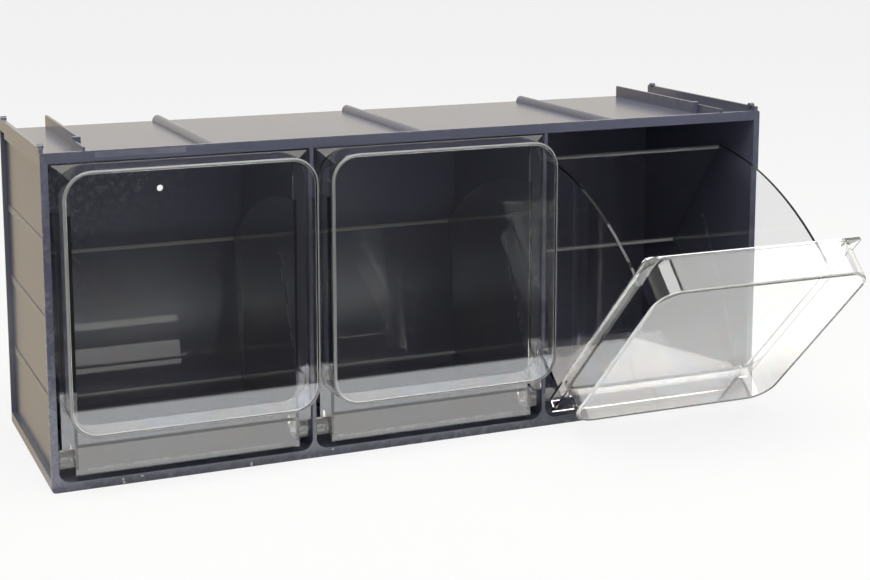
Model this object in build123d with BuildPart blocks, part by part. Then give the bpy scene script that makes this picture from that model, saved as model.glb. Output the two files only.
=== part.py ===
from build123d import *
import math
import os

# A wall and bench cabinet with three clear bins that tip forward on pivots at their foot.
# Millimetres, +Z up, bins opening towards -Y, origin at the middle of the base.

# Housing
cabinet_width = 600.0
cabinet_depth = 180.0
top_height = 244.4          # upper face of the top panel
lip_height = 5.6            # front frame standing above the top panel
frame_depth = 3.0           # front to back
frame_side = 5.5            # width of the frame's upright borders
frame_foot = 6.8            # width of the frame's lower border
frame_corner = 9.0          # rounding at the foot of each bay's mouth
frame_outer_corner = 1.6    # at the top
frame_foot_corner = 3.0
panel_thickness = 2.2       # top, floor and back
divider_thickness = 3.0
bay_count = 3

# Side walls
side_foot = 2.0             # gap under a side wall
side_base_band = 8.0        # height of the thick band along the foot
side_top_band = 4.9         # height of the thick band along the top
side_flange = 2.2           # thickness of the flange down the rear edge
side_recess_depth = 3.6     # between the bands and the flange
side_notch_length = 20.0    # where the recess reaches higher, in front of the flange
side_notch_rise = 4.4
side_rib_width = 6.0
side_rib_height = 0.6
side_rib_levels = (65.0, 124.0, 182.0)
side_rib_gap = 8.0          # between a rib's end and the flange
rim_thickness = 3.0
rim_height = 8.9            # above the top panel
stud_radius = 1.9
stud_length = 4.5
stud_inset = 7.0            # from either end of the rim
stud_rise = 0.5             # of its axis above the rim's edge

# Top panel
rib_centers = (-172.0, -5.0, 163.0)
rib_width = 9.0
rib_height = 5.2

# Stacking rails on the top panel
rail_inset = 37.0           # from a side wall's outer face
rail_thickness = 2.2
rail_height = 9.6
rail_start = 45.0           # from the front face to the tall blade
tongue_thickness = 1.4
tongue_height = 7.6
tongue_shift = 4.2          # outward, from the tall blade
rail_hook = 4.0
tongue_gap = 4.0            # behind the front frame

# Floor
keel_width = 3.0
stop_length = 150.0
stop_thickness = 2.0
stop_height = 4.8
stop_clearance = 0.3

# Wall screw holes in the back panel
screw_hole_radius = 2.75
screw_hole_shift = 25.9     # inward, from the middle of an outer bay
screw_hole_height = 188.0

# Pivots
pivot_setback = 9.5         # behind the front face
pivot_height = 24.5
pin_radius = 2.5
pin_clearance = 0.08        # radial
pin_end_clearance = 0.3
bearing_radius = 5.5
bearing_height = 1.7        # proud of the bay's wall
bearing_depth = 0.9         # bored into the bay's wall
open_angle = 45.0

# Slanted guide ribs that lead the pins down to the bearings
guide_width = 3.0
guide_height = 1.5
guide_top_setback = 72.0
guide_top_height = 149.0
guide_foot_gap = 12.0       # from the pivot's axis, along the rib

# Bins
flange_side_gap = 2.2
flange_top_gap = 0.8
flange_front = 12.0         # in front of the pivot
flange_thickness = 2.2
flange_corner = 1.5
heel_drop = 12.5            # flange below the pivot
notch_top = 7.5             # top of the corner notches, above the pivot
box_depth = 29.5
box_side_margin = 1.2       # flange beside the box
box_top_margin = 0.4
box_foot = 23.0             # above the pivot
box_corner = 21.0
box_draft = 0.5             # degrees
box_edge = 1.6
box_wall = 2.2
mouth_corner = 6.0
tray_wall = 2.4
tray_side_inset = 9.5       # from the flange's edge to the side plate
tray_floor_front = 8.0      # above the pivot
tray_floor_rear = 0.0
tray_floor_length = 137.0   # behind the pivot
tray_back_clearance = 14.8
tray_back_height = 121.0    # above the pivot
tray_front_height = 179.5   # above the pivot
tray_arc_radius = 262.0
tray_corner = 4.0
bead_radius = 1.8
ear_reach = 8.0             # round the pivot
knuckle_radius = 4.2
knuckle_drop = 5.5
pin_chamfer = 0.4

# Which bins stand open, from the left
bins_open = (False, False, True)

# Worked out from the sizes above
front_y = -cabinet_depth / 2
back_y = cabinet_depth / 2
wall_front = front_y + frame_depth
panel_back = back_y - panel_thickness
lip_top = top_height + lip_height
top_underside = top_height - panel_thickness
floor_underside = frame_foot - panel_thickness
outer_x = cabinet_width / 2
inner_x = outer_x - frame_side
rail_center = outer_x - rail_inset
bay_width = (2 * inner_x - (bay_count - 1) * divider_thickness) / bay_count
bay_pitch = bay_width + divider_thickness
bay_centers = [(index - (bay_count - 1) / 2) * bay_pitch for index in range(bay_count)]
divider_centers = [center + bay_pitch / 2 for center in bay_centers[:-1]]
screw_hole_center = bay_centers[-1] - screw_hole_shift
mouth_height = top_underside - frame_foot
pivot_y = front_y + pivot_setback
guide_run = guide_top_setback - pivot_setback
guide_rise = guide_top_height - pivot_height
guide_length = math.hypot(guide_run, guide_rise)
flange_half = bay_width / 2 - flange_side_gap
flange_back = flange_front - flange_thickness
flange_top = top_underside - flange_top_gap - pivot_height
side_plate_outer = flange_half - tray_side_inset
side_plate_inner = side_plate_outer - tray_wall
box_half = flange_half - box_side_margin
box_top = flange_top - box_top_margin
box_middle = (box_foot + box_top) / 2
tray_rear = cabinet_depth - panel_thickness - tray_back_clearance - pivot_setback
bead_axis = (tray_rear - bead_radius, tray_back_height - bead_radius)
floor_start = (-flange_back, tray_floor_front)
floor_end = (tray_floor_length, tray_floor_rear)
back_end = (tray_rear, tray_back_height - bead_radius)
arc_rear = (tray_rear - bead_radius, tray_back_height)
arc_front = (-flange_back, tray_front_height)
pin_tip = bay_width / 2 + bearing_depth - pin_end_clearance


def span(side, near, far):
    return tuple(sorted((side * near, side * far)))


def slab(x_span, y_span, z_span, mode=Mode.ADD):
    spans = (x_span, y_span, z_span)
    with Locations(tuple((low + high) / 2 for low, high in spans)):
        Box(*(high - low for low, high in spans), mode=mode)


def pivot_bearing(wall_x, side):
    # A round boss with a blind bore on the face at wall_x, with the slanted rib that leads to it.
    # side is 1 where the bay lies on the +X side of the face.
    seated = (Align.CENTER, Align.CENTER, Align.MIN)
    sunk = (Align.CENTER, Align.CENTER, Align.MAX)
    origin = (wall_x, pivot_y, pivot_height)
    face = Plane(origin=origin, x_dir=(0, 1, 0), z_dir=(side, 0, 0))
    guide = Plane(origin=origin, x_dir=(0, guide_run, guide_rise), z_dir=(side, 0, 0))
    with Locations(face):
        Cylinder(bearing_radius, bearing_height, align=seated)
    with Locations(guide):
        with Locations(((guide_foot_gap + guide_length) / 2, 0)):
            Box(guide_length - guide_foot_gap, guide_width, guide_height, align=seated)
    with Locations(face.offset(bearing_height)):
        Cylinder(pin_radius + pin_clearance, bearing_height + bearing_depth, align=sunk, mode=Mode.SUBTRACT)


def save(part, name):
    part.label = name
    export_step(part, f"parts/{name}.step")


os.makedirs("parts", exist_ok=True)

# Front frame: a flat face round the three bay mouths
with BuildPart() as front_frame:
    with BuildSketch(Plane.XZ.offset(-front_y)) as frame_face:
        with Locations((0, lip_top / 2)):
            Rectangle(cabinet_width, lip_top)
        with Locations(*((center, frame_foot + mouth_height / 2) for center in bay_centers)):
            Rectangle(bay_width, mouth_height, mode=Mode.SUBTRACT)
        rows = frame_face.vertices().group_by(Axis.Y)
        fillet(rows[1], radius=frame_corner)
        fillet(rows[0], radius=frame_foot_corner)
        fillet(rows[-1], radius=frame_outer_corner)
    extrude(amount=-frame_depth)
save(front_frame.part, "front_frame")

# Side walls: thick bands at the foot and the top and a flange down the rear edge, round a recessed
# panel with three flat ribs, and a rim with a stud near each end
for side, name in ((-1, "left_side_wall"), (1, "right_side_wall")):
    recess_low = side_foot + side_base_band
    recess_high = top_height - side_top_band
    recess_rear = back_y - side_flange
    recess_x = outer_x - side_recess_depth
    with BuildPart() as side_wall:
        slab(span(side, inner_x, outer_x), (wall_front, back_y), (side_foot, top_height))
        slab(span(side, outer_x - rim_thickness, outer_x), (wall_front, back_y),
             (top_height, top_height + rim_height))
        slab(span(side, recess_x, outer_x), (wall_front, recess_rear), (recess_low, recess_high),
             mode=Mode.SUBTRACT)
        slab(span(side, recess_x, outer_x), (recess_rear - side_notch_length, recess_rear),
             (recess_low, recess_high + side_notch_rise), mode=Mode.SUBTRACT)
        for level in side_rib_levels:
            slab(span(side, recess_x, recess_x + side_rib_height),
                 (wall_front, recess_rear - side_rib_gap),
                 (level - side_rib_width / 2, level + side_rib_width / 2))
        stud_z = top_height + rim_height + stud_rise
        for stud_y in (wall_front + stud_inset, back_y - stud_inset):
            with BuildSketch(Plane.YZ.offset(side * outer_x)):
                with Locations((stud_y, stud_z)):
                    Circle(stud_radius)
            extrude(amount=-side * stud_length)
        pivot_bearing(side * inner_x, -side)
    save(side_wall.part, name)

# Dividers, with a bearing and a guide rib on both faces
for center, name in zip(divider_centers, ("left_divider", "right_divider")):
    with BuildPart() as divider:
        slab((center - divider_thickness / 2, center + divider_thickness / 2),
             (wall_front, panel_back), (frame_foot, top_underside))
        pivot_bearing(center - divider_thickness / 2, -1)
        pivot_bearing(center + divider_thickness / 2, 1)
    save(divider.part, name)

# Back panel, with the holes for the wall screws
with BuildPart() as back_panel:
    slab((-inner_x, inner_x), (panel_back, back_y), (0, top_height))
    with BuildSketch(Plane.XZ.offset(-panel_back)):
        with Locations((-screw_hole_center, screw_hole_height), (screw_hole_center, screw_hole_height)):
            Circle(screw_hole_radius)
    extrude(amount=-panel_thickness, mode=Mode.SUBTRACT)
save(back_panel.part, "back_panel")

# Top panel, with three low half-round ribs from front to back
with BuildPart() as top_panel:
    slab((-inner_x, inner_x), (wall_front, panel_back), (top_underside, top_height))
    with BuildSketch(Plane.XZ.offset(-wall_front)):
        for center in rib_centers:
            with Locations((center, top_height)):
                Ellipse(rib_width / 2, rib_height)
        with Locations((0, top_height)):
            Rectangle(cabinet_width, rib_height, align=(Align.CENTER, Align.MAX), mode=Mode.SUBTRACT)
    extrude(amount=wall_front - panel_back)
save(top_panel.part, "top_panel")

# Stacking rails: a tall blade, a hook where it ends, and a lower tongue on to the front
for side, name in ((-1, "left_stacking_rail"), (1, "right_stacking_rail")):
    hook_y = front_y + rail_start
    tongue_x = rail_center + tongue_shift
    with BuildPart() as stacking_rail:
        slab(span(side, rail_center - rail_thickness / 2, rail_center + rail_thickness / 2),
             (hook_y, panel_back), (top_height, top_height + rail_height))
        slab(span(side, rail_center - rail_thickness / 2, tongue_x + tongue_thickness / 2),
             (hook_y, hook_y + rail_hook), (top_height, top_height + rail_height))
        slab(span(side, tongue_x - tongue_thickness / 2, tongue_x + tongue_thickness / 2),
             (wall_front + tongue_gap, hook_y), (top_height, top_height + tongue_height))
    save(stacking_rail.part, name)

# Floor panel, with keels under it and a stop rib behind each bin's heel
with BuildPart() as floor_panel:
    slab((-inner_x, inner_x), (wall_front, panel_back), (floor_underside, frame_foot))
    for center in (divider_centers[0], 0, divider_centers[-1]):
        slab((center - keel_width / 2, center + keel_width / 2), (wall_front, panel_back),
             (0, floor_underside))
    swing = math.radians(open_angle)
    heel_y = pivot_y + heel_drop * math.sin(swing) - flange_back * math.cos(swing)
    stop_y = heel_y + stop_clearance
    for center in bay_centers:
        slab((center - stop_length / 2, center + stop_length / 2), (stop_y, stop_y + stop_thickness),
             (frame_foot, frame_foot + stop_height))
save(floor_panel.part, "floor_panel")

# Bins. In each bin's own frame the pivot is the origin, seen shut: face looks out of the
# cabinet, side looks along the pivot with y up and x to the rear.
for index, (center, is_open) in enumerate(zip(bay_centers, bins_open), start=1):
    tilt = math.radians(open_angle if is_open else 0.0)
    origin = (center, pivot_y, pivot_height)
    rearward = (0, math.cos(tilt), math.sin(tilt))
    outward = (0, -math.cos(tilt), -math.sin(tilt))
    face = Plane(origin=origin, x_dir=(1, 0, 0), z_dir=outward)
    side_view = Plane(origin=origin, x_dir=rearward, z_dir=(1, 0, 0))

    # Flange: a flat plate with corner notches at its foot and a mouth between box and tray
    with BuildPart() as bin_flange:
        with BuildSketch(face.offset(flange_back)):
            with Locations((0, (notch_top + flange_top) / 2)):
                RectangleRounded(2 * flange_half, flange_top - notch_top, flange_corner)
            with Locations((0, notch_top)):
                Rectangle(2 * side_plate_outer, heel_drop + notch_top, align=(Align.CENTER, Align.MAX))
                Rectangle(2 * side_plate_outer, flange_corner, align=(Align.CENTER, Align.MIN))
        extrude(amount=flange_thickness)
        with BuildSketch(face.offset(flange_back)):
            with Locations((0, box_middle)):
                RectangleRounded(2 * side_plate_inner, box_top - box_foot - 2 * box_wall, mouth_corner)
        extrude(amount=flange_thickness, mode=Mode.SUBTRACT)
    save(bin_flange.part, f"bin_{index}_flange")

    # Box: a raised hollow window on the flange, open at its back
    with BuildPart() as bin_box:
        with BuildSketch(face.offset(flange_front)):
            with Locations((0, box_middle)):
                RectangleRounded(2 * box_half, box_top - box_foot, box_corner)
        extrude(amount=box_depth, taper=box_draft)
        fillet(bin_box.faces().sort_by(Axis(origin, outward))[-1].edges(), radius=box_edge)
        with BuildSketch(face.offset(flange_front)):
            with Locations((0, box_middle)):
                RectangleRounded(2 * (box_half - box_wall), box_top - box_foot - 2 * box_wall,
                                 box_corner - box_wall)
        extrude(amount=box_depth - box_wall, taper=box_draft, mode=Mode.SUBTRACT)
    save(bin_box.part, f"bin_{index}_box")

    # Tray: a floor and a leaning back in one strip, a bead along its edge, and two arc-topped
    # side plates with an ear round each pivot
    with BuildPart() as bin_tray:
        with BuildSketch(side_view):
            with BuildLine():
                FilletPolyline(floor_start, floor_end, back_end, radius=tray_corner)
                offset(amount=tray_wall, side=Side.LEFT)
            make_face()
            with Locations(bead_axis):
                Circle(bead_radius)
        extrude(amount=side_plate_inner, both=True)
        for side in (-1, 1):
            with BuildSketch(side_view.offset(side * side_plate_inner)):
                with BuildLine():
                    FilletPolyline(arc_front, floor_start, floor_end, back_end, radius=tray_corner)
                    TangentArc(back_end, arc_rear, tangent=(0, 1))
                    RadiusArc(arc_rear, arc_front, -tray_arc_radius)
                make_face()
                Circle(ear_reach)
                with Locations((-flange_back, 0)):
                    Rectangle(flange_back, ear_reach, align=(Align.MIN, Align.MAX))
                    Rectangle(flange_back + ear_reach, tray_floor_front, align=Align.MIN)
            extrude(amount=side * tray_wall)
    save(bin_tray.part, f"bin_{index}_tray")

    # Pivots: a knuckle on each side plate, with the pin that turns in the bay's bearing
    for side, hand in ((-1, "left"), (1, "right")):
        with BuildPart() as bin_pivot:
            with BuildSketch(side_view.offset(side * side_plate_outer)):
                Circle(knuckle_radius)
                with Locations((0, -knuckle_drop)):
                    Circle(knuckle_radius)
                Rectangle(2 * knuckle_radius, knuckle_drop, align=(Align.CENTER, Align.MAX))
            extrude(amount=side * tray_side_inset)
            with BuildSketch(side_view.offset(side * flange_half)):
                Circle(pin_radius)
            extrude(amount=side * (pin_tip - flange_half))
            tip = bin_pivot.faces().sort_by(Axis.X)[-1 if side > 0 else 0]
            chamfer(tip.edges(), length=pin_chamfer)
        save(bin_pivot.part, f"bin_{index}_{hand}_pivot")
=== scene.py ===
import math
import bpy
import bmesh
from mathutils import Matrix, Vector


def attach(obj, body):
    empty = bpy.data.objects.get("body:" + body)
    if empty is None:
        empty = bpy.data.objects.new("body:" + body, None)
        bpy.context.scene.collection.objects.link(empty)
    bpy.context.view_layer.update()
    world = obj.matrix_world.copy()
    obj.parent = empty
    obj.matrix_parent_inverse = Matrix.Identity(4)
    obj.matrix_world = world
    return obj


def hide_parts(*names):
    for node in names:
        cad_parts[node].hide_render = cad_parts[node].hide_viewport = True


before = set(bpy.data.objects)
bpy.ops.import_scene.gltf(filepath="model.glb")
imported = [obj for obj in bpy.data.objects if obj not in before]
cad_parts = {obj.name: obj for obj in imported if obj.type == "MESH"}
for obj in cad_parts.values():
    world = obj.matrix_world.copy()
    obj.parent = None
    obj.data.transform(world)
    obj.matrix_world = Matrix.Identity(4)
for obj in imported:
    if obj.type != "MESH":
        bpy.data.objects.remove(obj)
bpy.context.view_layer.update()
mm = 0.001
scene = bpy.context.scene
scene.view_settings.view_transform = "Standard"


# makers of solids, all in millimetres; where a part runs 0.5 to 1.5 mm into the next, that is only for a clean union
def roundedRect(cx, cy, width, height, radius, steps=6):
    # points run counter-clockwise from the right side of the lower right corner
    points = []
    for sx, sy, start in ((1, -1, -90), (1, 1, 0), (-1, 1, 90), (-1, -1, 180)):
        ox, oy = cx + sx * (width / 2 - radius), cy + sy * (height / 2 - radius)
        if radius <= 0:
            points.append((ox, oy))
            continue
        for i in range(steps + 1):
            turn = math.radians(start + 90 * i / steps)
            points.append((ox + radius * math.cos(turn), oy + radius * math.sin(turn)))
    return points


def circlePoints(cx, cy, radius, steps=24, start=0.0):
    return [(cx + radius * math.cos(start + math.tau * i / steps), cy + radius * math.sin(start + math.tau * i / steps))
            for i in range(steps)]


def loft(name, rings):
    # a closed solid through rings of equal point counts, given in millimetres
    bm = bmesh.new()
    rows = [[bm.verts.new(Vector(p) * mm) for p in ring] for ring in rings]
    count = len(rows[0])
    for low, high in zip(rows, rows[1:]):
        for i in range(count):
            j = (i + 1) % count
            bm.faces.new((low[i], low[j], high[j], high[i]))
    bm.faces.new(rows[0][::-1])
    bm.faces.new(rows[-1])
    bmesh.ops.recalc_face_normals(bm, faces=bm.faces)
    mesh = bpy.data.meshes.new(name)
    bm.to_mesh(mesh)
    bm.free()
    return bpy.data.objects.new(name, mesh)


def placer(plane):
    return {"XY": lambda a, b, c: (a, b, c), "XZ": lambda a, b, c: (a, c, b), "YZ": lambda a, b, c: (c, a, b)}[plane]


def prism(name, plane, outline, low, high):
    # outline in the plane's two axes, run along the third from low to high
    place = placer(plane)
    return loft(name, [[place(a, b, c) for a, b in outline] for c in (low, high)])


def slab(name, xs, ys, zs):
    return prism(name, "XY", [(xs[0], ys[0]), (xs[1], ys[0]), (xs[1], ys[1]), (xs[0], ys[1])], zs[0], zs[1])


def combine(base, tools, operation):
    # one exact boolean of base with all the tools at once
    group = bpy.data.collections.new("tools")
    scene.collection.children.link(group)
    for tool in tools:
        group.objects.link(tool)
    if base.name not in scene.collection.objects:
        scene.collection.objects.link(base)
    mod = base.modifiers.new("join", "BOOLEAN")
    mod.operation = operation
    mod.solver = "EXACT"
    mod.operand_type = "COLLECTION"
    mod.collection = group
    applyModifiers(base)
    for tool in tools:
        bpy.data.objects.remove(tool)
    bpy.data.collections.remove(group)
    return base


def applyModifiers(obj):
    graph = bpy.context.evaluated_depsgraph_get()
    graph.update()
    mesh = bpy.data.meshes.new_from_object(obj.evaluated_get(graph), preserve_all_data_layers=True, depsgraph=graph)
    obj.modifiers.clear()
    obj.data = mesh
    return obj


def softenEdges(obj, width, segments=2, angle=32):
    # welds what the booleans left, then rounds every edge sharper than angle
    bm = bmesh.new()
    bm.from_mesh(obj.data)
    bmesh.ops.remove_doubles(bm, verts=bm.verts, dist=2e-6)
    bmesh.ops.dissolve_limit(bm, angle_limit=math.radians(0.3), verts=bm.verts, edges=bm.edges)
    bm.to_mesh(obj.data)
    bm.free()
    mod = obj.modifiers.new("soft", "BEVEL")
    mod.width = width * mm
    mod.segments = segments
    mod.limit_method = "ANGLE"
    mod.angle_limit = math.radians(angle)
    mod.miter_outer = "MITER_ARC"
    applyModifiers(obj)
    return flattenNormals(obj)


def flattenNormals(obj, blendAngle=50):
    # smooth corners in which the largest faces keep their own direction, so wide panes stay flat
    mesh = obj.data
    mesh.shade_smooth()
    around = [[] for _ in mesh.vertices]
    for face in mesh.polygons:
        for v in face.vertices:
            around[v].append((face.normal.copy(), face.area ** 2))
    limit = math.cos(math.radians(blendAngle))
    normals = []
    for face in mesh.polygons:
        for v in face.vertices:
            total = Vector((0, 0, 0))
            for normal, weight in around[v]:
                if normal.dot(face.normal) > limit:
                    total += normal * weight
            normals.append(total.normalized() if total.length > 1e-20 else face.normal.copy())
    mesh.normals_split_custom_set(normals)
    return obj


housing = {
    "width": 600.0, "depth": 180.0, "top": 244.4, "lip": 250.0, "frameDepth": 3.0, "side": 5.5, "foot": 6.8,
    "mouthCorner": 9.0, "outerCorner": 1.6, "footCorner": 3.0, "panel": 2.2, "divider": 3.0, "bays": 3,
    "sideFoot": 2.0, "baseBand": 8.0, "topBand": 4.9, "flange": 2.2, "recess": 3.6, "notchLength": 20.0, "notchRise": 4.4,
    "ribWidth": 6.0, "ribHeight": 0.6, "ribLevels": (65.0, 124.0, 182.0), "ribGap": 8.0,
    "rim": 3.0, "rimHeight": 8.9, "studRadius": 1.9, "studLength": 4.5, "studInset": 7.0, "studRise": 0.5,
    "topRibs": (-172.0, -5.0, 163.0), "topRibWidth": 9.0, "topRibHeight": 5.2,
    "rail": 263.0, "railWidth": 2.2, "railHeight": 9.6, "railStart": 45.0, "tongueWidth": 1.4, "tongueHeight": 7.6,
    "tongueShift": 4.2, "hook": 4.0, "tongueGap": 4.0, "keel": 3.0, "stopLength": 150.0, "stopWidth": 2.0, "stopHeight": 4.8,
    "holeRadius": 2.75, "holeX": 171.433, "holeZ": 188.0, "softness": 0.45,
}
pivot = {"setback": 9.5, "height": 24.5, "pin": 2.5, "clearance": 0.08, "bearing": 5.5, "bossHeight": 1.7, "bore": 0.9,
         "guideWidth": 3.0, "guideHeight": 1.5, "guideTop": (72.0, 149.0), "guideGap": 12.0, "openAngle": 45.0,
         "heel": 12.5, "heelBack": 9.8, "stopGap": 0.3}

outerY = housing["depth"] / 2
frontY, backY = -outerY, outerY
wallFront, panelBack = frontY + housing["frameDepth"], backY - housing["panel"]
outerX = housing["width"] / 2
innerX = outerX - housing["side"]
bayWidth = (2 * innerX - (housing["bays"] - 1) * housing["divider"]) / housing["bays"]
bayPitch = bayWidth + housing["divider"]
bayCenters = [(i - 1) * bayPitch for i in range(housing["bays"])]
pivotY, pivotZ = frontY + pivot["setback"], pivot["height"]


def sideWall(side):
    # bands at the foot and the top and a flange down the rear edge, round a recess with three flat ribs
    h = housing
    span = lambda a, b: tuple(sorted((side * a, side * b)))
    low, high = h["sideFoot"] + h["baseBand"], h["top"] - h["topBand"]
    recessX, recessRear = outerX - h["recess"], backY - h["flange"]
    wall = slab("wall", span(innerX, outerX), (wallFront - 1.5, backY), (h["sideFoot"], h["top"]))
    rim = slab("rim", span(outerX - h["rim"], outerX), (wallFront, backY), (h["top"] - 1, h["top"] + h["rimHeight"]))
    wall = combine(wall, [rim], "UNION")
    recess = slab("recess", span(recessX, outerX + 1), (wallFront, recessRear), (low, high))
    wall = combine(wall, [recess], "DIFFERENCE")
    notchSpan = (recessRear - h["notchLength"], recessRear)
    notch = slab("notch", span(recessX, outerX + 1), notchSpan, (high - 1, high + h["notchRise"]))
    wall = combine(wall, [notch], "DIFFERENCE")
    ribs = [slab("rib", span(recessX - 0.5, recessX + h["ribHeight"]), (wallFront - 0.5, recessRear - h["ribGap"]),
                 (z - h["ribWidth"] / 2, z + h["ribWidth"] / 2)) for z in h["ribLevels"]]
    studZ = h["top"] + h["rimHeight"] + h["studRise"]
    studYs = (wallFront + h["studInset"], backY - h["studInset"])
    studs = [prism("stud", "YZ", circlePoints(y, studZ, h["studRadius"], 20), *span(outerX - h["studLength"], outerX))
             for y in studYs]
    return combine(wall, ribs + studs, "UNION")


def bearings():
    # bosses, slanted guide ribs and bores on every bay wall
    bosses, bores = [], []
    run, rise = pivot["guideTop"][0] - pivot["setback"], pivot["guideTop"][1] - pivot["height"]
    length = math.hypot(run, rise)
    along, across = Vector((run, rise)) / length, Vector((-rise, run)) / length
    for center in bayCenters:
        for side in (-1, 1):
            wallX = center + side * bayWidth / 2
            reach = lambda out: tuple(sorted((wallX + side * 0.5, wallX - side * out)))
            disc = circlePoints(pivotY, pivotZ, pivot["bearing"], 28)
            bosses.append(prism("boss", "YZ", disc, *reach(pivot["bossHeight"])))
            start = Vector((pivotY, pivotZ))
            near, far, half = along * pivot["guideGap"], along * length, across * pivot["guideWidth"] / 2
            outline = [tuple(start + at) for at in (near - half, far - half, far + half, near + half)]
            bosses.append(prism("guide", "YZ", outline, *reach(pivot["guideHeight"])))
            boreSpan = sorted((wallX + side * pivot["bore"], wallX - side * (pivot["bossHeight"] + 1)))
            bores.append(prism("bore", "YZ", circlePoints(pivotY, pivotZ, pivot["pin"] + pivot["clearance"], 24), *boreSpan))
    return bosses, bores


def buildHousing():
    h = housing
    middle = h["lip"] / 2
    feet = [p for p in roundedRect(0, middle, h["width"], h["lip"], h["footCorner"], 5) if p[1] < middle]
    tops = [p for p in roundedRect(0, middle, h["width"], h["lip"], h["outerCorner"], 4) if p[1] > middle]
    face = [p for p in feet if p[0] > 0] + tops + [p for p in feet if p[0] < 0]
    shell = prism("housing_shell", "XZ", face, frontY, wallFront)
    mouths = []
    topUnder = h["top"] - h["panel"]
    for center in bayCenters:
        # round at the lower corners, square at the upper ones
        outline = roundedRect(center, (h["foot"] + topUnder) / 2, bayWidth, topUnder - h["foot"], h["mouthCorner"], 8)
        lower = [p for p in outline if p[1] < h["foot"] + h["mouthCorner"] + 0.01]
        right, left = [p for p in lower if p[0] > center], [p for p in lower if p[0] < center]
        upper = [(center + bayWidth / 2, topUnder), (center - bayWidth / 2, topUnder)]
        mouths.append(prism("mouth", "XZ", right + upper + left, frontY - 1, wallFront + 0.4))
    members = [sideWall(-1), sideWall(1)]
    around = lambda middle, width: (middle - width / 2, middle + width / 2)
    inside, deep = (-innerX - 0.5, innerX + 0.5), (wallFront - 1.5, panelBack + 0.5)
    for center in (bayCenters[0] + bayPitch / 2, bayCenters[1] + bayPitch / 2):
        members.append(slab("divider", around(center, h["divider"]), deep, (h["foot"] - 0.5, topUnder + 0.5)))
    members.append(slab("back", inside, (panelBack, backY), (0, h["top"])))
    members.append(slab("top", inside, deep, (topUnder, h["top"])))
    members.append(slab("floor", inside, deep, (h["foot"] - h["panel"], h["foot"])))
    shell = combine(shell, members, "UNION")
    shell = combine(shell, mouths, "DIFFERENCE")
    extras, bores = bearings()
    for center in h["topRibs"]:
        turns = [math.pi * i / 14 for i in range(15)]
        arc = [(center + h["topRibWidth"] / 2 * math.cos(t), h["top"] + h["topRibHeight"] * math.sin(t)) for t in turns]
        arc += [(center - h["topRibWidth"] / 2, h["top"] - 1), (center + h["topRibWidth"] / 2, h["top"] - 1)]
        extras.append(prism("topRib", "XZ", arc, wallFront - 0.5, panelBack))
    for side in (-1, 1):
        span = lambda a, b: tuple(sorted((side * a, side * b)))
        hookY, tongueX = frontY + h["railStart"], h["rail"] + h["tongueShift"]
        inner = h["rail"] - h["railWidth"] / 2
        hookX = tongueX + h["tongueWidth"] / 2
        hook = [(inner, hookY), (hookX, hookY), (hookX, hookY + h["hook"]), (inner + h["railWidth"], hookY + h["hook"]),
                (inner + h["railWidth"], panelBack), (inner, panelBack)]
        extras.append(prism("rail", "XY", [(side * x, y) for x, y in hook], h["top"] - 1, h["top"] + h["railHeight"]))
        extras.append(slab("tongue", span(tongueX - h["tongueWidth"] / 2, tongueX + h["tongueWidth"] / 2),
                           (wallFront + h["tongueGap"], hookY + 1), (h["top"] - 1, h["top"] + h["tongueHeight"])))
    for center in (bayCenters[0] + bayPitch / 2, 0, bayCenters[1] + bayPitch / 2):
        extras.append(slab("keel", around(center, h["keel"]), (wallFront - 0.5, panelBack + 0.5),
                           (0, h["foot"] - h["panel"] + 1)))
    # the stop stands just behind the heel of an open bin
    swing = math.radians(pivot["openAngle"])
    stopY = pivotY + pivot["heel"] * math.sin(swing) - pivot["heelBack"] * math.cos(swing) + pivot["stopGap"]
    for center in bayCenters:
        extras.append(slab("stop", around(center, h["stopLength"]), (stopY, stopY + h["stopWidth"]),
                           (h["foot"] - 1, h["foot"] + h["stopHeight"])))
    shell = combine(shell, extras, "UNION")
    for x in (-h["holeX"], h["holeX"]):
        bores.append(prism("screwHole", "XZ", circlePoints(x, h["holeZ"], h["holeRadius"], 24), panelBack - 1, backY + 1))
    shell = combine(shell, bores, "DIFFERENCE")
    return softenEdges(shell, h["softness"])


# a bin in its own frame: x across, y away from the user, z up, pivot at the origin
tiltBin = {
    "flangeHalf": 94.967, "flangeFront": 12.0, "flange": 2.2, "flangeCorner": 1.5, "flangeTop": 216.9, "heel": 12.5,
    "notch": 7.5, "boxHalf": 93.767, "boxDepth": 29.5, "boxTop": 216.5, "boxFoot": 23.0, "boxCorner": 21.0, "draft": 0.5,
    "edge": 1.6, "wall": 2.2,
    "mouthCorner": 6.0, "sideOuter": 85.467, "plate": 2.4, "floorFront": 8.0, "floorRear": 0.0, "floorLength": 137.0,
    "rear": 153.5, "backHeight": 121.0, "frontHeight": 179.5, "arcRadius": 262.0, "corner": 4.0, "bead": 1.8, "ear": 8.0,
    "knuckle": 4.2, "knuckleDrop": 5.5, "pinTip": 97.767, "pin": 2.5, "pinChamfer": 0.4, "innerEdge": 0.6, "softness": 0.4,
}


def filletPath(points, radius, steps=5):
    # rounds the inner corners of an open path
    path = [Vector(points[0])]
    for before, here, after in zip(points, points[1:], points[2:]):
        before, here, after = Vector(before), Vector(here), Vector(after)
        inward, outward = (before - here).normalized(), (after - here).normalized()
        half = inward.angle(outward) / 2
        cut = radius / math.tan(half)
        center = here + (inward + outward).normalized() * radius / math.sin(half)
        first, last = here + inward * cut - center, here + outward * cut - center
        turn = first.angle_signed(last)
        for i in range(steps + 1):
            path.append(center + Matrix.Rotation(-turn * i / steps, 2) @ first)
    path.append(Vector(points[-1]))
    return path


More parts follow.
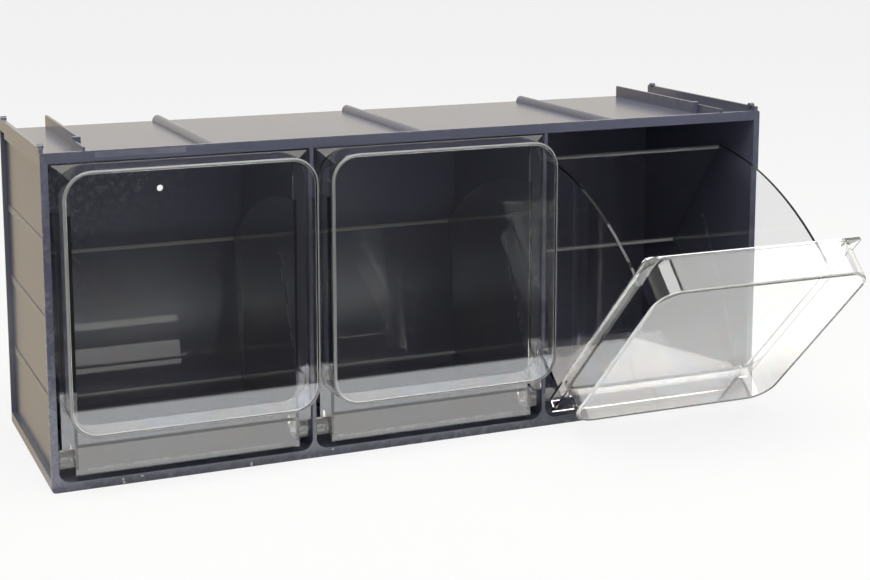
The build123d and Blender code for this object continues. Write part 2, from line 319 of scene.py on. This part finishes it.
def offsetPath(path, distance):
    # shifts an open path to its left
    shifted = []
    for i, point in enumerate(path):
        before = (path[i] - path[i - 1]).normalized() if i else (path[1] - path[0]).normalized()
        after = (path[i + 1] - path[i]).normalized() if i + 1 < len(path) else before
        normals = [Vector((-d.y, d.x)) for d in (before, after)]
        bisector = (normals[0] + normals[1]).normalized()
        shifted.append(point + bisector * distance / max(0.2, bisector.dot(normals[0])))
    return shifted


def arcBetween(start, end, radius, steps=28):
    # bulges to the right of the way from start to end
    start, end = Vector(start), Vector(end)
    chord = end - start
    middle = (start + end) / 2
    right = Vector((chord.y, -chord.x)).normalized()
    center = middle - right * math.sqrt(radius ** 2 - (chord.length / 2) ** 2)
    first, last = start - center, end - center
    turn = first.angle_signed(last)
    return [center + Matrix.Rotation(-turn * i / steps, 2) @ first for i in range(steps + 1)]


def drafted(name, halfWidth, foot, top, corner, start, depth, edge):
    # a rounded box that narrows by the draft towards the user, with a rounded front edge
    slope = math.tan(math.radians(tiltBin["draft"]))
    turns = [math.pi / 2 * i / 5 for i in range(6)]
    stations = [(0.0, 0.0)] + [(depth - edge + edge * math.sin(t), edge * (1 - math.cos(t))) for t in turns]
    rings = []
    for out, inset in stations:
        shrink = out * slope + inset
        width, height = 2 * (halfWidth - shrink), top - foot - 2 * shrink
        outline = roundedRect(0, (foot + top) / 2, width, height, max(0.5, corner - shrink), 8)
        rings.append([(x, -(start + out), z) for x, z in outline])
    return loft(name, rings)


def buildBin():
    b = tiltBin
    half, sideInner = b["flangeHalf"], b["sideOuter"] - b["plate"]
    back = b["flangeFront"] - b["flange"]
    plate = roundedRect(0, (b["notch"] + b["flangeTop"]) / 2, 2 * half, b["flangeTop"] - b["notch"], b["flangeCorner"], 3)
    clear = prism("bin_clear", "XZ", plate, -b["flangeFront"], -back)
    tab = slab("tab", (-b["sideOuter"], b["sideOuter"]), (-b["flangeFront"], -back), (-b["heel"], b["notch"] + 3))
    outer = drafted("outer", b["boxHalf"], b["boxFoot"], b["boxTop"], b["boxCorner"], b["flangeFront"] - 0.4,
                    b["boxDepth"] + 0.4, b["edge"])
    floorStart, floorEnd = (-back, b["floorFront"]), (b["floorLength"], b["floorRear"])
    backEnd = (b["rear"], b["backHeight"] - b["bead"])
    run = filletPath([(-back - 0.8, b["floorFront"]), floorEnd, backEnd], b["corner"])
    strip = [tuple(p) for p in run] + [tuple(p) for p in reversed(offsetPath(run, b["plate"]))]
    members = [tab, outer]
    members.append(prism("strip", "YZ", strip, -sideInner - 0.6, sideInner + 0.6))
    members.append(prism("bead", "YZ", circlePoints(b["rear"] - b["bead"], b["backHeight"] - b["bead"], b["bead"], 20),
                         -sideInner - 0.5, sideInner + 0.5))
    arc = arcBetween((b["rear"] - b["bead"], b["backHeight"]), (-back, b["frontHeight"]), b["arcRadius"])
    cap = [(b["rear"] - b["bead"] + b["bead"] * math.cos(t), b["backHeight"] - b["bead"] + b["bead"] * math.sin(t))
           for t in (math.pi / 8, math.pi / 4, 3 * math.pi / 8)]
    outline = [tuple(p) for p in filletPath([(-back - 0.8, b["floorFront"]), floorEnd, backEnd], b["corner"])] + cap
    outline += [tuple(p) for p in arc] + [(-back - 0.8, b["frontHeight"])]
    for side in (-1, 1):
        span = lambda a, c: tuple(sorted((side * a, side * c)))
        members.append(prism("sidePlate", "YZ", outline, *span(sideInner, b["sideOuter"])))
        ear = [(-back - 0.8, b["floorFront"] + 1), (-back - 0.8, -b["ear"])]
        ear += [(b["ear"] * math.sin(t), -b["ear"] * math.cos(t)) for t in [math.pi / 2 * i / 8 for i in range(9)]]
        ear += [(b["ear"], b["floorFront"] + 1)]
        members.append(prism("ear", "YZ", ear, *span(sideInner, b["sideOuter"])))
        turns = [math.pi * i / 12 for i in range(13)]
        lug = [(b["knuckle"] * math.cos(t), b["knuckle"] * math.sin(t)) for t in turns]
        lug += [(-b["knuckle"] * math.cos(t), -b["knuckleDrop"] - b["knuckle"] * math.sin(t)) for t in turns]
        members.append(prism("lug", "YZ", lug, *span(b["sideOuter"] - 0.6, half)))
        rings = []
        chamfer = b["pinChamfer"]
        for x, radius in ((half - 1, b["pin"]), (b["pinTip"] - chamfer, b["pin"]), (b["pinTip"], b["pin"] - chamfer)):
            rings.append([(side * x, y, z) for y, z in circlePoints(0, 0, radius, 24)])
        members.append(loft("pin", rings))
    for member in members:
        clear = combine(clear, [member], "UNION")
    mouthTop, mouthFoot = b["boxTop"] - b["wall"], b["boxFoot"] + b["wall"]
    inner = drafted("inner", b["boxHalf"] - b["wall"], mouthFoot, mouthTop, b["boxCorner"] - b["wall"], b["flangeFront"],
                    b["boxDepth"] - b["wall"], b["innerEdge"])
    mouth = roundedRect(0, (mouthTop + mouthFoot) / 2, 2 * sideInner, mouthTop - mouthFoot, b["mouthCorner"], 5)
    clear = combine(clear, [inner], "DIFFERENCE")
    clear = combine(clear, [prism("mouth", "XZ", mouth, -b["flangeFront"] - 0.5, -back + 0.4)], "DIFFERENCE")
    return softenEdges(clear, b["softness"])


shell = buildHousing()
print("housing", len(shell.data.polygons), "faces")
binBody = buildBin()
print("bin", len(binBody.data.polygons), "faces")


class Wire:
    # one output of a node, so shader maths can be written as an expression
    def __init__(self, graph, socket):
        self.graph, self.socket = graph, socket

    def __add__(self, other): return self.graph.math("ADD", self, other)
    def __radd__(self, other): return self.graph.math("ADD", other, self)
    def __sub__(self, other): return self.graph.math("SUBTRACT", self, other)
    def __rsub__(self, other): return self.graph.math("SUBTRACT", other, self)
    def __mul__(self, other): return self.graph.math("MULTIPLY", self, other)
    def __rmul__(self, other): return self.graph.math("MULTIPLY", other, self)
    def __truediv__(self, other): return self.graph.math("DIVIDE", self, other)
    def __pow__(self, other): return self.graph.math("POWER", self, other)
    def clamp(self): return self.graph.math("ADD", self, 0.0, clamp=True)
    def away(self): return self.graph.math("ABSOLUTE", self, 0.0)


class Graph:
    def __init__(self, owner):
        owner.use_nodes = True
        self.tree = owner.node_tree
        self.tree.nodes.clear()

    def node(self, kind, settings=None, output=0, **inputs):
        # settings first, then the sockets' values or links
        made = self.tree.nodes.new(kind)
        for name, value in (settings or {}).items():
            if name == "stops":
                self.stops(made.color_ramp, value)
            else:
                setattr(made, name, value)
        for name, value in inputs.items():
            self.feed(self.find(made, name), value)
        return made if output is None else Wire(self, made.outputs[output])

    def find(self, made, name):
        if name.startswith("in"):
            return made.inputs[int(name[2:])]
        return made.inputs[name.replace("_", " ")]

    def feed(self, socket, value):
        if isinstance(value, Wire):
            self.tree.links.new(value.socket, socket)
        elif hasattr(socket.default_value, "__len__") and not hasattr(value, "__len__"):
            socket.default_value = [value] * len(socket.default_value)
        elif hasattr(value, "__len__") and len(value) == 3 and len(socket.default_value) == 4:
            socket.default_value = (*value, 1.0)
        else:
            socket.default_value = value

    def stops(self, ramp, stops):
        while len(ramp.elements) < len(stops):
            ramp.elements.new(0.5)
        for element, (place, color) in zip(ramp.elements, stops):
            element.position = place
            element.color = (*color, 1.0) if len(color) == 3 else color

    def math(self, operation, left, right, clamp=False):
        return self.node("ShaderNodeMath", {"operation": operation, "use_clamp": clamp}, in0=left, in1=right)

    def mixColor(self, amount, low, high, blend="MIX"):
        return self.node("ShaderNodeMix", {"data_type": "RGBA", "blend_type": blend, "clamp_factor": True},
                         output=2, in0=amount, in6=low, in7=high)

    def noise(self, place, scale, detail=2.0, roughness=0.5, distortion=0.0):
        return self.node("ShaderNodeTexNoise", None, Vector=place, Scale=scale, Detail=detail, Roughness=roughness,
                         Distortion=distortion)

    def ramp(self, value, low, high):
        # 0 below low, 1 above high, smooth between
        return self.node("ShaderNodeMapRange", {"interpolation_type": "SMOOTHSTEP"}, in0=value, in1=low, in2=high,
                         in3=0.0, in4=1.0)

    def split(self, vector):
        made = self.node("ShaderNodeSeparateXYZ", None, output=None, in0=vector)
        return [Wire(self, made.outputs[i]) for i in range(3)]

    def stretch(self, vector, scale, offset=(0, 0, 0)):
        return self.node("ShaderNodeMapping", None, in0=vector, in1=offset, in3=scale)

    def band(self, value, middle, half, soft):
        # 1 within half of middle, fading out over soft
        return 1 - self.ramp((value - middle).away(), half - soft, half + soft)

    def finish(self, shader, volume=None):
        end = self.node("ShaderNodeOutputMaterial", None, output=None)
        self.tree.links.new(shader.socket, end.inputs["Surface"])
        if volume:
            self.tree.links.new(volume.socket, end.inputs["Volume"])


housingLook = {
    "color": (0.115, 0.120, 0.172), "cloud": (0.130, 0.135, 0.190), "worn": (0.23, 0.235, 0.28),
    "band": (0.20, 0.20, 0.235), "bandHighlightShare": 0.5,  # painted highlight: the raised bands and ribs of the side walls are painted paler, standing in for the light that falls on them
    "roughness": 0.24, "roughnessDrift": 0.08, "coat": 0.12, "coatRoughness": 0.1, "ior": 1.5,
    "peelScale": 420.0, "peelDepth": 0.035, "wearEdge": (0.515, 0.58), "wear": 0.65,
    # small white rub marks on the lower border of the front, as x, z and half size in millimetres
    "marks": ((-149.7, 2.2, 1.3, 2.3), (-247.9, 4.0, 1.2, 1.4), (-247.4, 1.6, 1.5, 1.0), (-233.7, 4.6, 1.7, 0.8),
              (-84.0, 4.9, 1.2, 0.6)),
    "markColor": (0.78, 0.78, 0.79),
    "rubbed": (-227.8, 33.0, 247.0, 2.0),  # paler patch along the lip: x, half length, z, half height
}


def housingMaterial():
    look = housingLook
    material = bpy.data.materials.new("housing_plastic")
    g = Graph(material)
    place = g.node("ShaderNodeTexCoord", None, output=3)
    x, y, z = g.split(place)
    flow = g.noise(g.stretch(place, (1, 0.5, 1)), 9.0, 3.0, 0.55, 0.6)
    fine = g.noise(place, 160.0, 4.0, 0.6)
    streaks = g.noise(g.stretch(place, (1.0, 14.0, 2.0)), 38.0, 3.0, 0.6)
    edges = g.ramp(g.node("ShaderNodeNewGeometry", None, output=7), *look["wearEdge"])
    wear = edges * g.ramp(fine, 0.42, 0.62) * look["wear"]
    front = g.ramp(0 - y, (outerY - 1.2) * mm, (outerY - 0.4) * mm)
    marks = 0.0
    for mx, mz, halfX, halfZ in look["marks"]:
        away = ((x - mx * mm) / (halfX * mm)) ** 2 + ((z - mz * mm) / (halfZ * mm)) ** 2
        marks = marks + (1 - g.ramp(away + fine * 0.8, 0.7, 1.25))
    marks = (marks * front).clamp()
    rx, rHalf, rz, rzHalf = look["rubbed"]
    rubbed = g.band(x, rx * mm, rHalf * mm, 0.8 * mm) * g.band(z, rz * mm, rzHalf * mm, 0.5 * mm) * front
    rubbed = rubbed * g.ramp(streaks, 0.25, 0.6)
    color = g.mixColor(g.ramp(flow, 0.3, 0.75), look["color"], look["cloud"])
    level = outerX - housing["recess"]
    raised = g.ramp(x.away(), (level + 0.3) * mm, (level + 0.5) * mm)
    sides = g.ramp(x.away(), (innerX + 1.0) * mm, (innerX + 1.4) * mm) * (1 - front)
    # painted highlight: raised bands and ribs of the side walls are mixed towards the paler band colour
    color = g.mixColor(sides * raised * look["bandHighlightShare"], color, look["band"])
    color = g.mixColor((wear + rubbed * 0.6).clamp(), color, look["worn"])
    color = g.mixColor(marks, color, look["markColor"])
    roughness = look["roughness"] + (flow - 0.5) * look["roughnessDrift"] + (streaks - 0.5) * 0.05
    roughness = roughness + wear * 0.12 + rubbed * 0.2 + marks * 0.4
    peel = g.noise(place, look["peelScale"], 2.0, 0.5)
    wave = g.noise(g.stretch(place, (1, 1.6, 1)), 16.0, 1.0, 0.4)
    height = peel * 0.12 + wave * 2.0 + marks * 0.3
    bump = g.node("ShaderNodeBump", None, Strength=look["peelDepth"], Distance=0.0006, Height=height)
    shader = g.node("ShaderNodeBsdfPrincipled", None, Base_Color=color, Roughness=roughness.clamp(), Normal=bump)
    body = shader.socket.node
    body.inputs["IOR"].default_value = look["ior"]
    body.inputs["Coat Weight"].default_value = look["coat"]
    body.inputs["Coat Roughness"].default_value = look["coatRoughness"]
    g.finish(shader)
    return material


clearLook = {
    "tint": (0.985, 0.99, 0.985), "ior": 1.55, "roughness": 0.006, "absorb": (0.80, 0.82, 0.74), "density": 9.0,
    "waviness": 0.004,
    "edgeClear": 0.72, "edgeRoughness": 0.22, "edgeWidth": 1.45,  # rims and rounded edges scatter some light
    # faint strain colours near the foot, by place along a ramp
    "strain": [(0.30, (1.0, 1.0, 1.0)), (0.42, (0.97, 0.98, 1.0)), (0.50, (1.0, 0.975, 0.93)),
               (0.56, (1.0, 0.95, 0.96)), (0.62, (0.95, 1.0, 0.97)), (0.72, (1.0, 1.0, 1.0))],
    "strainHeight": (0.07, 0.15), "strainShare": 0.9,
}


def clearMaterial(edge):
    look = clearLook
    material = bpy.data.materials.new("clear_edge" if edge else "clear_plastic")
    g = Graph(material)
    place = g.node("ShaderNodeTexCoord", None, output=3)
    x, y, z = g.split(place)
    haze = g.noise(place, 12.0, 3.0, 0.5)
    smears = g.noise(g.stretch(place, (3.0, 1.0, 0.7)), 26.0, 4.0, 0.6, 0.8)
    roughness = look["roughness"] + g.ramp(haze, 0.35, 0.8) * 0.01 + g.ramp(smears, 0.55, 0.85) * 0.015
    strain = g.noise(g.stretch(place, (0.7, 1.0, 1.3)), 9.0, 1.0, 0.5, 1.2)
    rainbow = g.node("ShaderNodeValToRGB", {"stops": look["strain"]}, in0=strain)
    low = 1 - g.ramp(z, *look["strainHeight"])
    color = g.mixColor(low * look["strainShare"], look["tint"], rainbow)
    wave = g.noise(g.stretch(place, (1.0, 1.0, 0.6)), 22.0, 1.0, 0.4)
    bump = g.node("ShaderNodeBump", None, Strength=look["waviness"], Distance=0.001, Height=wave)
    if edge:
        roughness = roughness + look["edgeRoughness"]
    shader = g.node("ShaderNodeBsdfPrincipled", None, Base_Color=color, Roughness=roughness.clamp(), Normal=bump)
    body = shader.socket.node
    body.inputs["IOR"].default_value = look["ior"]
    body.inputs["Transmission Weight"].default_value = look["edgeClear"] if edge else 1.0
    absorb = g.node("ShaderNodeVolumeAbsorption", None, Color=look["absorb"], Density=look["density"])
    g.finish(shader, absorb)
    return material


def dressHousing():
    shell.data.materials.clear()
    shell.data.materials.append(housingMaterial())
    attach(shell, "housing")
    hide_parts("front_frame", "left_side_wall", "right_side_wall", "left_divider", "right_divider", "back_panel",
                "top_panel", "floor_panel", "left_stacking_rail", "right_stacking_rail")


def dressBins():
    mesh = binBody.data
    mesh.materials.clear()
    mesh.materials.append(clearMaterial(False))
    mesh.materials.append(clearMaterial(True))
    for face in mesh.polygons:
        corners = [mesh.vertices[v].co for v in face.vertices]
        longest = max((a - b).length for a in corners for b in corners)
        face.material_index = 1 if face.area / longest < clearLook["edgeWidth"] * mm else 0
    for index, center in enumerate(bayCenters, start=1):
        piece = binBody if index == 1 else binBody.copy()
        piece.name = f"bin_{index}_clear"
        if index > 1:
            scene.collection.objects.link(piece)
        piece.location = Vector((center, pivotY, pivotZ)) * mm
        if index == len(bayCenters):
            # the open bin's mesh is turned itself, so its own box stays tight
            piece.data = mesh.copy()
            piece.data.transform(Matrix.Rotation(math.radians(pivot["openAngle"]), 4, "X"))
        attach(piece, f"bin_{index}")
        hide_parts(*(f"bin_{index}_{part}" for part in ("flange", "box", "tray", "left_pivot", "right_pivot")))


dressHousing()
dressBins()
print("dressed")

# a white room behind and above, a dark one on the camera's side, and a pale table which reflections see with painted
# light: warm behind the cabinet, glowing sheets before the bins and painted dark beyond a line in front of the cabinet
studio = {
    "clean": (1.0, 1.0, 1.0), "warm": (0.95, 0.89, 0.75), "ceiling": (0.55, 0.55, 0.55), "dark": (0.06, 0.06, 0.075),
    "soft": 0.45,  # share of the room's light that reaches matt surfaces
    "behind": (-0.3, 0.3), "above": (0.3, 0.75),  # where the dark side ends and where the ceiling starts
    "table": (0.80, 0.79, 0.77), "tableMatt": (0.46, 0.455, 0.445),  # as the camera and as matt surfaces see it
    "tableWhite": 0.85, "tableMirrored": 0.9,  # shares of plain glow, the rest is lit paper with its shadow
    # painted reflection: the table as reflections see it, painted warm beside and behind the cabinet and painted dark
    # in front of edge; the camera sees it white
    "tableGloss": (0.90, 0.90, 0.90), "warmGloss": (0.82, 0.70, 0.51), "edge": (-0.345, -0.335), "beside": (-0.16, 0.05),
    # glowing sheets painted into the table, brighter than white and seen only in reflections and through clear plastic
    # as painted reflections on the bins, with the y at which each fades and the slanting border between them
    "farSheen": (3.5, 3.6, 3.75), "nearSheen": (3.0, 3.0, 2.95), "openSheen": (1.9, 1.9, 1.87),
    "farToNear": (-0.205, -0.185), "nearEnd": (-0.110, -0.100), "openEnd": (-0.165, -0.135),
    "border": (0.097, 0.103), "borderFrom": 0.122, "borderLean": 0.55,
    # name, middle, aim, size across and up in metres, radiance, colour, whether it also lights matt surfaces
    "lamps": (("front_softbox", (-0.25, -1.15, 2.1), (0, 0, 0.1), 1.8, 1.5, 6.0, (1.0, 0.995, 0.98), True),
              ("right_softbox", (1.33, -0.59, 1.7), (1.33, -0.59, 0.0), 0.9, 0.42, 3.6, (1.0, 0.995, 0.98), True),
              ("rear_softbox", (0.62, -0.03, 1.7), (0.62, -0.03, 0.0), 0.9, 0.54, 2.6, (0.96, 0.98, 1.0), True),
              ("low_card", (0.38, -3.0, 0.048), (0.38, 0.0, 0.048), 0.40, 0.064, 1.3, (1.0, 0.99, 0.96), False),
              ("thin_card", (0.38, -3.0, 0.138), (0.38, 0.0, 0.138), 0.40, 0.018, 1.2, (1.0, 0.99, 0.96), False)),
}


def rayKinds(g):
    path = g.node("ShaderNodeLightPath", None, output=None)
    direct, gloss, through = (Wire(g, path.outputs[f"Is {kind} Ray"]) for kind in ("Camera", "Glossy", "Transmission"))
    return direct, (gloss - through).clamp(), through  # a ray through clear plastic counts as glossy as well


def buildRoom():
    world = bpy.data.worlds.new("studio")
    scene.world = world
    g = Graph(world)
    direct, gloss, through = rayKinds(g)
    across, along, up = g.split(g.node("ShaderNodeTexCoord", None, output=0))
    behind = g.ramp(along, *studio["behind"])
    far = g.mixColor(gloss, studio["clean"], studio["warm"])
    room = g.mixColor(behind, studio["dark"], far)
    room = g.mixColor(g.ramp(up, *studio["above"]) * (1 - direct), room, studio["ceiling"])
    room = g.mixColor(direct, room, studio["clean"])
    seen = (direct + gloss + through).clamp()
    sky = g.node("ShaderNodeBackground", None, Color=room, Strength=studio["soft"] + seen * (1 - studio["soft"]))
    end = g.node("ShaderNodeOutputWorld", None, output=None)
    g.tree.links.new(sky.socket, end.inputs["Surface"])


def tableMaterial():
    # reads white to the camera and keeps the shadow; in reflections it shows painted light: warm behind the cabinet,
    # bright sheets before the bins and painted dark beyond a line in front
    material = bpy.data.materials.new("table_white")
    g = Graph(material)
    direct, gloss, through = rayKinds(g)
    place = g.node("ShaderNodeTexCoord", None, output=3)
    x, y, z = g.split(place)
    # painted reflection: in front of edge the table is painted dark in reflections, and beside and behind the cabinet
    # it is painted warm
    near = g.ramp(y, *studio["edge"])
    beside = g.ramp(y, *studio["beside"])
    mirrored = g.mixColor(beside, studio["tableGloss"], g.mixColor(gloss, studio["clean"], studio["warmGloss"]))
    # painted reflection: the table glows brighter than white before the two shut bins, and fainter under the open one
    aside = g.ramp(x + (y + studio["borderFrom"]) * studio["borderLean"], *studio["border"])
    sheenMask = (1 - g.ramp(y, *studio["nearEnd"])) * (1 - aside)
    mirrored = g.mixColor(aside * (1 - g.ramp(y, *studio["openEnd"])), mirrored, studio["openSheen"])
    # painted reflection: the glow of the sheets, brighter than white, is mixed into what reflections see
    bright = g.mixColor(g.ramp(y, *studio["farToNear"]), studio["farSheen"], studio["nearSheen"])
    mirrored = g.mixColor(sheenMask, mirrored, bright)
    mirrored = g.mixColor(near, studio["dark"], mirrored)
    glowColor = g.mixColor(direct, mirrored, studio["clean"])
    grain = g.noise(place, 3.0, 2.0, 0.5)
    paper = g.mixColor(grain, studio["table"], tuple(1.03 * c for c in studio["table"]))
    paper = g.node("ShaderNodeBsdfDiffuse", None, Color=g.mixColor(direct, studio["tableMatt"], paper))
    glow = g.node("ShaderNodeEmission", None, Color=glowColor, Strength=1.0)
    share = direct * studio["tableWhite"] + (gloss + through).clamp() * studio["tableMirrored"]
    g.finish(g.node("ShaderNodeMixShader", None, in0=share.clamp(), in1=paper, in2=glow))
    return material


def buildStudio():
    buildRoom()
    for name, place, aim, across, up, radiance, color, matt in studio["lamps"]:
        data = bpy.data.lights.new(name, "AREA")
        data.shape, data.size, data.size_y, data.color = "RECTANGLE", across, up, color
        data.energy = radiance * math.pi * across * up
        lamp = bpy.data.objects.new(name, data)
        scene.collection.objects.link(lamp)
        lamp.location, lamp.visible_diffuse = place, matt
        lamp.rotation_euler = (Vector(aim) - Vector(place)).to_track_quat("-Z", "Y").to_euler()
    mesh = bpy.data.meshes.new("table")
    mesh.from_pydata([(-9, -9, 0), (9, -9, 0), (9, 9, 0), (-9, 9, 0)], [], [(0, 1, 2, 3)])
    table = bpy.data.objects.new("table", mesh)
    scene.collection.objects.link(table)
    mesh.materials.append(tableMaterial())


buildStudio()
print("studio ready")

cameraData = bpy.data.cameras.new("camera")
camera = bpy.data.objects.new("camera", cameraData)
scene.collection.objects.link(camera)
camera.location = (-0.49878, -1.25822, 0.42900)
camera.rotation_euler = tuple(math.radians(a) for a in (80.9531, 0.0161, -23.2160))
cameraData.lens = 68.723
cameraData.shift_y = -0.1494
scene.camera = camera
